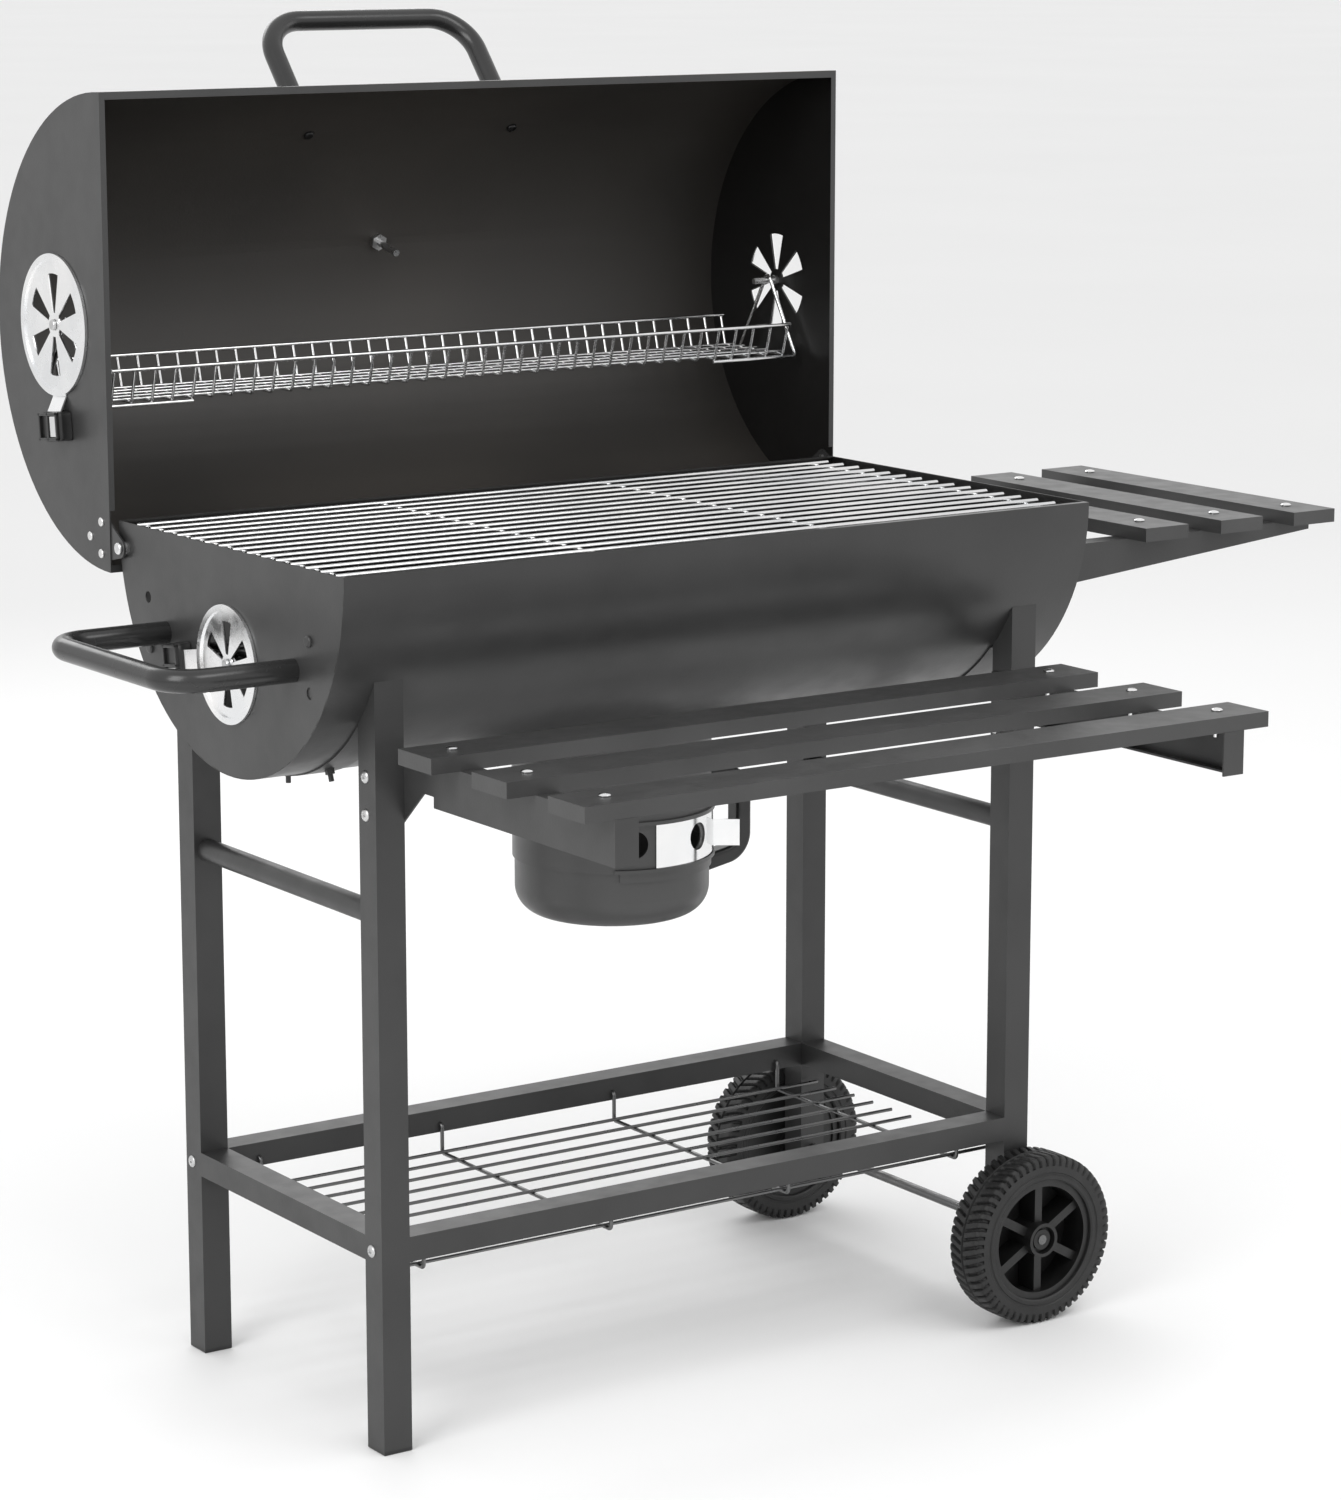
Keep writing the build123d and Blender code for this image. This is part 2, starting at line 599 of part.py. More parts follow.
def charcoal_grate():
    """Rods along the bowl on four cross bars, below the cooking grate."""
    count = int(2 * charcoal_half_y / charcoal_pitch) + 1
    rods = [rod((-404, y, charcoal_z), (404, y, charcoal_z), 3.0)
            for y in [index * charcoal_pitch - charcoal_half_y for index in range(count)]]
    for x in grate_bar_x:
        rods += [rod((side * (x - 23), -charcoal_half_y - 4, charcoal_z + 5.2),
                     (side * (x - 23), charcoal_half_y + 4, charcoal_z + 5.2), 3.0)
                 for side in (-1, 1)]
    return fused(rods)


def warming_rack():
    """The wire basket in the lid, hung by a wire yoke from the vent bolt at each end."""
    wires = []
    for index in range(rack_pitches + 1):
        x = rack_half_x * (2 * index / rack_pitches - 1)
        points = [(x, -rack_top_half, -rack_top_drop), (x, -rack_bottom_half, -rack_bottom_drop),
                  (x, rack_bottom_half, -rack_bottom_drop), (x, rack_top_half, -rack_top_drop)]
        wires.append(bent_rod(points, 4.0, 1.5))
    lengthwise = [(side * rack_top_half, -rack_top_drop, 2.0) for side in (-1, 1)]
    lengthwise += [(y, 2.4 - rack_bottom_drop, 1.5) for y in (-45, -22.5, 0, 22.5, 45)]
    for y, z, radius in lengthwise:
        wires.append(rod((-rack_half_x - 3, y, z), (rack_half_x + 3, y, z), radius))
    wires += both_sides(rack_yoke())
    return Pos(0, lid_vent_y, lid_vent_z) * fused(wires)


def rack_yoke():
    """The right-hand yoke: feet under the basket, and a bend over the vent bolt."""
    wire = 2.0
    bend = vent_bolt_radius + wire + bore_slack
    lean = math.atan2(hanger_half, hanger_drop) - math.asin(
        bend / math.hypot(hanger_half, hanger_drop))
    apex = hanger_half / math.tan(lean) - hanger_drop
    foot_x = hanger_x - hanger_foot
    path = FilletPolyline((foot_x, -hanger_half, -hanger_drop),
                          (hanger_x, -hanger_half, -hanger_drop), (hanger_x, 0, apex),
                          (hanger_x, hanger_half, -hanger_drop),
                          (foot_x, hanger_half, -hanger_drop), radius=bend)
    return sweep(Plane(origin=path @ 0, z_dir=path % 0) * Circle(wire), path=path)


# ---- handles and gauge ----
def tube_handle(width, length, bend, radius):
    """A U-shaped tube handle: legs from z = 0 up to a bar at z = length, feet plugged."""
    half = width / 2
    points = [(-half, 0, 0), (-half, 0, length), (half, 0, length), (half, 0, 0)]
    bore = radius - handle_wall
    handle = bent_rod(points, bend, radius, bore)
    for x in (-half, half):
        plug = rod((x, 0, 6), (x, 0, 18), bore + 0.5) - rod((x, 0, 5), (x, 0, 19), 3.1)
        handle += plug
    return handle


def lid_handle():
    """The handle on the lid, its feet shaped to the curved shell."""
    y, z = polar(1.0, lid_handle_angle)
    place = Plane(origin=from_lid(0, lid_handle_angle, lid_radius - 2), x_dir=(1, 0, 0),
                  z_dir=(0, y, z))
    handle = place * tube_handle(lid_handle_width, lid_handle_reach - lid_radius + 2, 44,
                                 handle_radius)
    return handle - rod((-200, lid_plane_y, lid_axis_z), (200, lid_plane_y, lid_axis_z),
                        lid_radius)


def side_handle():
    """The handle for pushing the cart, on the bowl's left end."""
    place = Plane(origin=(-end_x, 0, side_handle_z), x_dir=(0, 1, 0), z_dir=(-1, 0, 0))
    return place * tube_handle(2 * side_handle_half, side_handle_reach - end_x, 34, 11.0)


def gauge():
    """The lid thermometer: a dial case outside and a stem through the shell."""
    case = rod(from_lid(0, gauge_angle, lid_radius + 0.8),
               from_lid(0, gauge_angle, lid_radius + gauge_height), gauge_radius)
    case = fillet(case.edges().filter_by(GeomType.CIRCLE), 1.5)
    return case + rod(from_lid(0, gauge_angle, lid_radius - 42),
                      from_lid(0, gauge_angle, lid_radius + 2), stem_radius)


def gauge_nut():
    """The nut on the thermometer's stem, inside the lid."""
    y, z = polar(1.0, gauge_angle)
    place = Plane(origin=from_lid(0, gauge_angle, lid_radius - sheet - 5.7), z_dir=(0, y, z))
    return place * (extrude(RegularPolygon(9, 6), 5.5) - Cylinder(stem_radius, 20))


# ---- ash unit ----
def about_z(face, z0, z1):
    """Extrude a face drawn in (x, y) from z0 to z1."""
    return extrude(Pos(0, 0, z0) * face, z1 - z0)


def collar_point(radius, degrees, z):
    """A point at a radius and an angle about the collar's axis."""
    x, y = polar(radius, degrees)
    return x, y, z


def air_hole(degrees, inner, outer):
    """A cutting solid for an air hole square to the collar."""
    return rod(collar_point(inner, degrees, air_hole_z), collar_point(outer, degrees, air_hole_z),
               air_hole_radius)


def ash_collar():
    """The collar under the bowl, with its air holes and a skirt below them."""
    inner = collar_radius - collar_wall
    collar = about_z(Circle(collar_radius) - Circle(inner), collar_bottom, 660)
    collar -= rod((-200, 0, rim_z), (200, 0, rim_z), bowl_radius)
    collar += about_z(sector_face(inner, collar_radius, skirt_first, skirt_last),
                      collar_bottom - skirt_drop, collar_bottom + 1)
    for degrees in air_hole_angles:
        collar -= air_hole(degrees, inner - 8, collar_radius + 5)
    return collar


def damper_rails():
    """The lipped rails above and below the damper, against the collar."""
    keeper = collar_radius + gap + damper_sheet + gap
    rails = []
    for edge, turn in ((damper_bottom, -1), (damper_top, 1)):
        z0, z1 = sorted((edge + turn * gap, edge + turn * (gap + 1.4)))
        shelf = about_z(sector_face(collar_radius, keeper + 1.2, -122, -10), z0, z1)
        z0, z1 = sorted((edge - turn * 1.8, edge + turn * (gap + 1.4)))
        rails.append(shelf + about_z(sector_face(keeper, keeper + 1.2, -122, -10), z0, z1))
    return rails


def ash_damper():
    """The curved plate that slides round the collar, with an air hole and a tab."""
    inner = collar_radius + gap
    outer = inner + damper_sheet
    plate = about_z(sector_face(inner, outer, damper_first, damper_last),
                    damper_bottom, damper_top)
    plate -= air_hole((damper_first + damper_last) / 2, inner - 5, outer + 5)
    tab = block(outer - 1.2, outer + 26, -0.9, 0.9, 498.5, 524.9)
    return plate + Rot(0, 0, damper_last - 0.8) * tab


def ash_pot():
    """The round pot that collects the ash, its rim inside the collar."""
    height = pot_top - pot_bottom
    pot = Pos(0, 0, pot_bottom + height / 2) * Cylinder(pot_radius, height)
    pot = fillet(pot.edges().group_by(Axis.Z)[0], pot_corner)
    pot = offset(pot, amount=-pot_wall, openings=pot.faces().sort_by(Axis.Z)[-1])
    for z in pot_rivets:
        pot -= rod((pot_radius - 4, 0, z), (pot_radius + 4, 0, z), 2.0 + hole_slack)
    return pot


def pot_handle():
    """The moulded grip of the pot: a loop from its wall out, up and back to the collar."""
    path = FilletPolyline((pot_radius + 1.6, 0, 466), (pot_handle_reach, 0, 476),
                          (pot_handle_reach, 0, pot_handle_top), (collar_radius + 4, 0,
                                                                 pot_handle_top), radius=22)
    section = Plane(origin=path @ 0, x_dir=(0, 1, 0), z_dir=path % 0) * RectangleRounded(22, 17, 5)
    grip = sweep(section, path=path)
    foot = block(pot_radius, pot_radius + 8, -11, 11, 456, 480)
    foot -= rod((0, 0, 440), (0, 0, 500), pot_radius)
    for z in pot_rivets:
        foot -= rod((pot_radius - 4, 0, z), (pot_radius + 7, 0, z), 2.0 + hole_slack)
        grip -= rod((pot_radius - 4, 0, z), (pot_radius + 7, 0, z), 2.0 + hole_slack)
    return grip + foot


def pot_rivet(z):
    """A rivet from inside the pot into the foot of its handle."""
    seat = pot_radius - pot_wall - 0.1
    return bolt((seat, 0, z), (seat + 7, 0, z), 2.0, head_radius=3.5, head_height=1.5)


# ---- the assembly, one entry per node ----
bowl_inside, lid_inside = end_x - sheet, lid_radius - sheet
right_bowl_bolts = [bolt((end_x, y, z), (end_x - 9, y, z), nut_radius=5.5,
                         nut_at=sheet + 1.5) for y, z in charcoal_bolts]
bowl_bolts = [piece for solid in right_bowl_bolts for piece in both_sides(solid)]
bowl_bolts += [bolt((end_x + bracket_sheet, y, z), (end_x - 9, y, z), nut_radius=5.5,
                    nut_at=bracket_sheet + sheet) for y, z in side_bracket_bolt_places()]
bowl_bolts += [bolt((-bowl_inside, y, side_handle_z), (-bowl_inside - 18, y, side_handle_z))
               for y in (-side_handle_half, side_handle_half)]

lid_bolts = both_sides(vent_bolt(lid_end_x, 30, lid_vent_y, lid_vent_z))
lid_bolts += [bolt(from_lid(x, lid_handle_angle, lid_inside - 0.1),
                   from_lid(x, lid_handle_angle, lid_inside + 18))
              for x in (-lid_handle_width / 2, lid_handle_width / 2)]
lid_bolts.append(gauge_nut())

right_frame_bolts = [frame_bolt(y, z) for y, z in front_leg_bolts + rail_bolts]
front_slats = [slat(-front_slat_length / 2, front_slat_length / 2, front, front + slat_width,
                    front_slat_top, front_slat_height, front_screws(front))
               for front in front_slat_fronts]
side_slats = [slat(left, left + slat_width, side_slat_front, side_slat_front + side_slat_length,
                   side_slat_top, side_slat_height, side_screws(left))
              for left in side_slat_lefts]
shelf_screws = [shelf_screw(x, y, front_slat_top, front_slat_height)
                for front in front_slat_fronts for x, y in front_screws(front)]
shelf_screws += [shelf_screw(x, y, side_slat_top, side_slat_height)
                 for left in side_slat_lefts for x, y in side_screws(left)]
clips = [charcoal_clip(y, z) for y, z in charcoal_bolts]

parts = {
    "bowl_shell": bowl_shell(),
    "bowl_end_left": bowl_end(-1),
    "bowl_end_right": bowl_end(1),
    "bowl_bolts": bowl_bolts,
    "bowl_vent_bolts": both_sides(vent_bolt(end_x, 10, bowl_vent_y, bowl_vent_z)),
    "hinge_bolts": both_sides(hinge_bolt()),
    "grate_ledges": [piece for solid in [grate_ledge()] + clips for piece in both_sides(solid)],
    "charcoal_grate": charcoal_grate(),
    "ash_collar": ash_collar(),
    "damper_rails": damper_rails(),
    "saddles": [saddle(-1), saddle(1)],
    "saddle_bolts": [saddle_bolt(x, angle) for x, angle in saddle_bolt_places()],
    "leg_front_left": leg(-1, -1, foot_thickness),
    "leg_rear_left": leg(-1, 1, foot_thickness),
    "leg_front_right": leg(1, -1, axle_z - 27.6),
    "leg_rear_right": leg(1, 1, axle_z - 27.6),
    "leg_feet": [leg_foot(-1), leg_foot(1)],
    "crossbars": both_sides(rod((leg_x, -inner_y, crossbar_z), (leg_x, inner_y, crossbar_z),
                                crossbar_radius)
                            - rod((leg_x, -inner_y, crossbar_z), (leg_x, inner_y, crossbar_z),
                                  crossbar_radius - tube_wall)),
    "rail_front": long_rail(-1),
    "rail_rear": long_rail(1),
    "rails_side": both_sides(rail(inner_x, frame_half_x, -inner_y, inner_y)),
    "lower_shelf": lower_shelf(),
    "frame_bolts": [piece for solid in right_frame_bolts for piece in both_sides(solid)],
    "front_bracket_left": front_bracket(-1),
    "front_bracket_right": front_bracket(1),
    "front_slats": front_slats,
    "side_bracket_front": side_bracket(side_bracket_webs[0]),
    "side_bracket_rear": side_bracket(side_bracket_webs[1]),
    "side_slats": side_slats,
    "shelf_screws": shelf_screws,
    "side_handle": side_handle(),
    "axle": axle(),
    "axle_fittings": axle_washers(),
    "lid_shell": lid_shell(),
    "lid_end_left": lid_end(-1),
    "lid_end_right": lid_end(1),
    "hinge_plates": both_sides(hinge_plate_solid()),
    "hinge_rivets": [piece for y, z in hinge_rivets for piece in both_sides(hinge_rivet(y, z))],
    "lid_handle": lid_handle(),
    "lid_bolts": lid_bolts,
    "thermometer": gauge(),
    "warming_rack": warming_rack(),
    "cooking_grate": cooking_grate(),
    "ash_damper": ash_damper(),
    "ash_pot": ash_pot(),
    "ash_pot_handle": pot_handle(),
    "ash_pot_rivets": [pot_rivet(z) for z in pot_rivets],
}
for name, side in (("left", -1), ("right", 1)):
    lid_vent = (side, lid_vent_radius, lid_end_x, lid_vent_y, lid_vent_z, lid_vent_tab)
    bowl_vent = (side, bowl_vent_radius, end_x, bowl_vent_y, bowl_vent_z, bowl_vent_tab)
    parts["lid_vent_" + name] = vent_disc(*lid_vent)
    parts["lid_vent_grip_" + name] = vent_grip(*lid_vent)
    parts["bowl_vent_" + name] = vent_disc(*bowl_vent)
    parts["bowl_vent_grip_" + name] = vent_grip(*bowl_vent)
for name, side in (("front", -1), ("rear", 1)):
    parts["wheel_hub_" + name] = wheel_hub(side)
    parts["wheel_tyre_" + name] = wheel_tyre(side)

# ---- move the origin to the bottom centre of the bounding box, and write one file per node ----
nodes = {name: Compound(solids) if isinstance(solids, list) else solids
         for name, solids in parts.items()}
box = Compound(list(nodes.values())).bounding_box()
origin = Pos(-(box.min.X + box.max.X) / 2, -(box.min.Y + box.max.Y) / 2, -box.min.Z)
os.makedirs("parts", exist_ok=True)
for name, node in nodes.items():
    export_step(origin * node, os.path.join("parts", name + ".step"))
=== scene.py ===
import json
import math

import bmesh
import bpy
from mathutils import Matrix, Vector


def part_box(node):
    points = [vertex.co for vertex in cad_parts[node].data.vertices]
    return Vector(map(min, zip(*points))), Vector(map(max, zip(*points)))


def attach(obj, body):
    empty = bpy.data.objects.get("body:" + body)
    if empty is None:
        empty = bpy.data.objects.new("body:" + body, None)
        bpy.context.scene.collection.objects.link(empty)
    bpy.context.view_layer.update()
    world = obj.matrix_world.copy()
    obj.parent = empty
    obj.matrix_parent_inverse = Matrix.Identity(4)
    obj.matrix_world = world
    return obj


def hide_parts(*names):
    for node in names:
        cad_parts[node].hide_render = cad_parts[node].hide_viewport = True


# A barrel charcoal grill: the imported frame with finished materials, lugged tyres, moulded
# vent grips, recessed screws and a thermometer dial, on a pale floor in soft studio light.
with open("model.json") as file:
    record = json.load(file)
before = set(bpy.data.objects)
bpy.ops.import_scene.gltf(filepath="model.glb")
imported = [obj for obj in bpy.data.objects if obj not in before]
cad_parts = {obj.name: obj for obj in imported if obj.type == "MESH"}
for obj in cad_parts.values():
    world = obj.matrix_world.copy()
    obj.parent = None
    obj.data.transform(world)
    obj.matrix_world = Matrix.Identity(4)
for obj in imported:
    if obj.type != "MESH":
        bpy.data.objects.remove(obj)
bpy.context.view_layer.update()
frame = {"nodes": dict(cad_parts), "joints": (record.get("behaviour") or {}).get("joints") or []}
nodes = frame["nodes"]
pivots = {joint["name"]: Vector(joint["pos_m"]) for joint in frame["joints"] if "pos_m" in joint}
MM = 0.001

# ---- camera at the photograph's viewing angle ----
CAMERA_PLACE = (-2.438, -3.461, 1.430)
CAMERA_YAW, CAMERA_PITCH = 34.336, 11.29          # degrees to the right of +Y, and down
CAMERA_LENS, CAMERA_SENSOR = 104.2, 36.0
camera = bpy.data.objects.new("camera", bpy.data.cameras.new("camera"))
bpy.context.scene.collection.objects.link(camera)
camera.location = CAMERA_PLACE
camera.rotation_euler = (math.radians(90 - CAMERA_PITCH), 0, math.radians(-CAMERA_YAW))
camera.data.lens = CAMERA_LENS
camera.data.sensor_width = CAMERA_SENSOR
camera.data.clip_end = 200
bpy.context.scene.camera = camera


# ---- materials ----
class Nodes:
    """A material's node tree, with short calls to add and link nodes."""

    def __init__(self, name):
        self.material = bpy.data.materials.new(name)
        self.material.use_nodes = True
        self.tree = self.material.node_tree
        self.shader = self.tree.nodes["Principled BSDF"]
        self.place = self.add("ShaderNodeTexCoord").outputs["Object"]

    def add(self, kind, **values):
        """A new node with its properties, and its inputs where the name is one."""
        node = self.tree.nodes.new(kind)
        for key, value in values.items():
            if hasattr(node, key):
                setattr(node, key, value)
            else:
                self.put(node.inputs[key.replace("_", " ")], value)
        return node

    def put(self, socket, value):
        """Link an output to a socket, or set the socket's value."""
        if isinstance(value, bpy.types.NodeSocket):
            self.tree.links.new(value, socket)
        else:
            socket.default_value = value

    def noise(self, scale, detail=4.0, place=None):
        """Noise over the object's own coordinates, about 0.5."""
        node = self.add("ShaderNodeTexNoise", Scale=scale, Detail=detail)
        self.put(node.inputs["Vector"], place or self.place)
        return node.outputs["Fac"]

    def spread(self, value, low, high, start=0.35, end=0.65):
        """A value from start..end mapped to low..high."""
        node = self.add("ShaderNodeMapRange")
        for key, number in (("Value", value), ("From Min", start), ("From Max", end),
                            ("To Min", low), ("To Max", high)):
            self.put(node.inputs[key], number)
        return node.outputs["Result"]

    def mix(self, factor, first, second):
        """A colour between two colours."""
        node = self.add("ShaderNodeMix", data_type="RGBA")
        for socket, value in zip((node.inputs[0], node.inputs[6], node.inputs[7]),
                                 (factor, first, second)):
            self.put(socket, value)
        return node.outputs[2]

    def maths(self, operation, first, second=0.0):
        """One arithmetic step."""
        node = self.add("ShaderNodeMath", operation=operation)
        self.put(node.inputs[0], first)
        self.put(node.inputs[1], second)
        return node.outputs[0]

    def bump(self, height, distance, strength=1.0, normal=None):
        """A bump of a real depth in metres."""
        node = self.add("ShaderNodeBump", Strength=strength, Distance=distance)
        self.put(node.inputs["Height"], height)
        if normal is not None:
            self.put(node.inputs["Normal"], normal)
        return node.outputs["Normal"]

    def finish(self, **sockets):
        """Set the shader's sockets and return the material."""
        for key, value in sockets.items():
            self.put(self.shader.inputs[key.replace("_", " ")], value)
        return self.material


def grey(value, warm=0.0):
    """An opaque grey, a little warm or cool."""
    return (value * (1 + warm), value, value * (1 - warm), 1.0)


def powder_coat(name, shade, rough, peel=0.00006, inside=None, painted_inner_shade=(0.0045, 0.008)):
    """Satin powder coat: faint mottling, orange peel, and a duller inner face in painted shade."""
    n = Nodes(name)
    mottle = n.noise(9.0, 5.0)
    colour = n.mix(n.spread(mottle, 0.0, 1.0), grey(shade * 0.88), grey(shade * 1.12))
    roughness = n.spread(n.noise(38.0, 6.0), rough - 0.035, rough + 0.045)
    # painted shade: faces that turn towards the barrel's axis get a darker, warm colour in place
    # of the coat
    if inside is not None:
        split = n.add("ShaderNodeSeparateXYZ")
        n.put(split.inputs[0], n.place)
        normal = n.add("ShaderNodeSeparateXYZ")
        n.put(normal.inputs[0], n.add("ShaderNodeTexCoord").outputs["Normal"])
        across = n.maths("MULTIPLY", n.maths("SUBTRACT", split.outputs["Y"], inside[0]),
                         normal.outputs["Y"])
        up = n.maths("MULTIPLY", n.maths("SUBTRACT", split.outputs["Z"], inside[1]),
                     normal.outputs["Z"])
        facing = n.maths("LESS_THAN", n.maths("ADD", across, up), 0.0)
        dark = n.mix(n.spread(n.noise(3.0, 2.0), 0.0, 1.0), grey(painted_inner_shade[0], 0.10),
                     grey(painted_inner_shade[1], 0.12))
        colour = n.mix(facing, colour, dark)
        outer_rough = n.maths("MULTIPLY", roughness, n.maths("SUBTRACT", 1.0, facing))
        roughness = n.maths("ADD", outer_rough, n.maths("MULTIPLY", facing, 0.46))
    peel_bump = n.bump(n.noise(420.0, 1.0), peel)
    return n.finish(Base_Color=colour, Roughness=roughness, Normal=peel_bump,
                    Specular_IOR_Level=0.5)


def end_coat_inner_shade(name, shade, rough, middle_x):
    """The coat of an end plate: satin outside, painted shade on the inner face."""
    n = Nodes(name)
    split = n.add("ShaderNodeSeparateXYZ")
    n.put(split.inputs[0], n.add("ShaderNodeTexCoord").outputs["Normal"])
    inward = n.maths("GREATER_THAN", n.maths("MULTIPLY", split.outputs["X"],
                                             -1.0 if middle_x > 0 else 1.0), 0.5)
    colour = n.mix(n.spread(n.noise(9.0, 5.0), 0.0, 1.0), grey(shade * 0.88),
                   grey(shade * 1.12))
    # painted shade: the face that turns inward gets a near-black warm colour
    colour = n.mix(inward, colour, grey(0.007, 0.05))
    roughness = n.spread(n.noise(38.0, 6.0), rough - 0.035, rough + 0.045)
    return n.finish(Base_Color=colour, Roughness=roughness,
                    Normal=n.bump(n.noise(420.0, 1.0), 0.00005))


def plated(name, shade, rough, grain=0.0):
    """Plated metal: a little uneven in gloss, with faint drawing lines if grain is given."""
    n = Nodes(name)
    colour = n.mix(n.spread(n.noise(14.0, 4.0), 0.0, 1.0), grey(shade * 0.93, -0.01),
                   grey(min(1.0, shade * 1.05), 0.005))
    roughness = n.spread(n.noise(60.0, 6.0), rough * 0.75, rough * 1.35)
    stretch = n.add("ShaderNodeMapping")
    n.put(stretch.inputs["Vector"], n.place)
    stretch.inputs["Scale"].default_value = (40.0, 900.0, 900.0)
    height = n.noise(1.0, 3.0, stretch.outputs["Vector"]) if grain else n.noise(220.0, 3.0)
    return n.finish(Base_Color=colour, Metallic=1.0, Roughness=roughness,
                    Normal=n.bump(height, grain or 0.00002, 0.6))


def moulded(name, shade, rough, grain=0.00012, scale=900.0):
    """Moulded black plastic or rubber with a fine spark-eroded grain."""
    n = Nodes(name)
    colour = n.mix(n.spread(n.noise(22.0, 5.0), 0.0, 1.0), grey(shade * 0.8), grey(shade * 1.25))
    roughness = n.spread(n.noise(70.0, 5.0), rough - 0.05, rough + 0.07)
    return n.finish(Base_Color=colour, Roughness=roughness,
                    Normal=n.bump(n.noise(scale, 2.0), grain, 0.7))


lid_low, lid_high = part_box("lid_shell")
lid_axis = (lid_low.y, (lid_low.z + lid_high.z) / 2)
bowl_low, bowl_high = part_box("bowl_shell")
bowl_axis = ((bowl_low.y + bowl_high.y) / 2, bowl_high.z)
coat = powder_coat("charcoal_powder_coat", 0.030, 0.36)
frame_coat = powder_coat("frame_powder_coat", 0.027, 0.40)
slat_coat = powder_coat("slat_powder_coat", 0.038, 0.36)
ash_coat = powder_coat("ash_unit_powder_coat", 0.050, 0.38)
handle_coat = powder_coat("gloss_black_coat", 0.018, 0.24, 0.00003)
# the lid and bowl coats carry painted shade on their inner faces, lighter on the lid
lid_coat_and_inner_shade = powder_coat("lid_powder_coat_inner_shade", 0.030, 0.34, inside=lid_axis,
                       painted_inner_shade=(0.020, 0.032))
bowl_coat_and_inner_shade = powder_coat("bowl_powder_coat_inner_shade", 0.028, 0.34, inside=bowl_axis)
chrome = plated("bright_chrome", 0.80, 0.13)
rod_chrome = plated("drawn_chrome_rod", 0.72, 0.17, 0.00002)
bright_zinc = plated("bright_zinc_plate", 0.72, 0.24)
vent_chrome = plated("satin_chrome_vents", 0.90, 0.24)
zinc = plated("zinc_plate", 0.55, 0.30)
dark_wire = plated("dark_coated_wire", 0.16, 0.34)
plastic = moulded("black_moulded_plastic", 0.012, 0.36)
wheel_plastic = moulded("black_wheel_plastic", 0.005, 0.42, 0.00006)
rubber = moulded("black_tread", 0.009, 0.55, 0.0002, 420.0)

finishes = {
    "lid_shell": lid_coat_and_inner_shade, "bowl_shell": bowl_coat_and_inner_shade, "lid_handle": handle_coat,
    "side_handle": handle_coat, "warming_rack": rod_chrome, "cooking_grate": rod_chrome,
    "lower_shelf": dark_wire, "ash_damper": chrome, "charcoal_grate": handle_coat,
    "bowl_end_left": end_coat_inner_shade("bowl_end_coat_inner_shade_left", 0.030, 0.36, -1),
    "bowl_end_right": end_coat_inner_shade("bowl_end_coat_inner_shade_right", 0.030, 0.36, 1),
    "lid_end_left": end_coat_inner_shade("lid_end_coat_inner_shade_left", 0.031, 0.36, -1),
    "lid_end_right": end_coat_inner_shade("lid_end_coat_inner_shade_right", 0.031, 0.36, 1),
    "ash_pot_handle": plastic, "leg_feet": plastic, "axle": dark_wire,
    "axle_fittings": wheel_plastic,
    "thermometer": zinc, "ash_pot_rivets": zinc,
}
finishes.update({name: vent_chrome for name in nodes
                 if "vent" in name and "grip" not in name})
finishes.update({name: zinc for name in nodes if name.endswith("bolts") or "rivets" in name})
finishes.update({name: wheel_plastic for name in nodes if name.startswith("wheel_hub")})
finishes.update({name: frame_coat for name in nodes
                 if name.startswith(("leg_front", "leg_rear", "rail", "crossbars", "saddles"))})
finishes.update({"hinge_rivets": bright_zinc, "hinge_bolts": bright_zinc, "bowl_bolts": coat,
                 "saddle_bolts": frame_coat, "front_slats": slat_coat, "side_slats": slat_coat,
                 "ash_pot": ash_coat, "ash_collar": ash_coat, "damper_rails": ash_coat})
for name, node in nodes.items():
    node.data.materials.clear()
    node.data.materials.append(finishes.get(name, coat))


def two_finish(name, height, width):
    """Zinc bolts, coated black where they are above a height and off the middle."""
    n = Nodes(name)
    split = n.add("ShaderNodeSeparateXYZ")
    n.put(split.inputs[0], n.place)
    off = n.maths("ABSOLUTE", n.maths("SUBTRACT", split.outputs["X"], frame_middle))
    inner = n.maths("MULTIPLY", n.maths("LESS_THAN", off, HANDLE_REACH),
                    n.maths("GREATER_THAN", off, width))
    black = n.maths("MULTIPLY", inner, n.maths("GREATER_THAN", split.outputs["Z"], height))
    colour = n.mix(black, grey(0.55), grey(0.006))
    metal = n.maths("SUBTRACT", 1.0, black)
    roughness = n.spread(n.noise(60.0, 6.0), 0.24, 0.40)
    return n.finish(Base_Color=colour, Metallic=metal, Roughness=roughness,
                    Normal=n.bump(n.noise(220.0, 3.0), 0.00002, 0.6))


HANDLE_REACH = 0.3                # the lid handle's bolts lie nearer the middle than this
HANDLE_BOLT_HEIGHT, HANDLE_BOLT_OFF = 1.05, 0.08
frame_middle = (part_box("rail_front")[0].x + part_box("rail_front")[1].x) / 2
nodes["lid_bolts"].data.materials[0] = two_finish("lid_bolt_finish", HANDLE_BOLT_HEIGHT,
                                                  HANDLE_BOLT_OFF)


# ---- mesh helpers ----
def piece(name, mesh, material, body, replaced=()):
    """Put a finished mesh in the scene as a piece that rides on a body."""
    made = bpy.data.objects.new(name, mesh)
    bpy.context.scene.collection.objects.link(made)
    mesh.materials.append(material)
    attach(made, body)
    if replaced:
        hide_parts(*replaced)
    return made


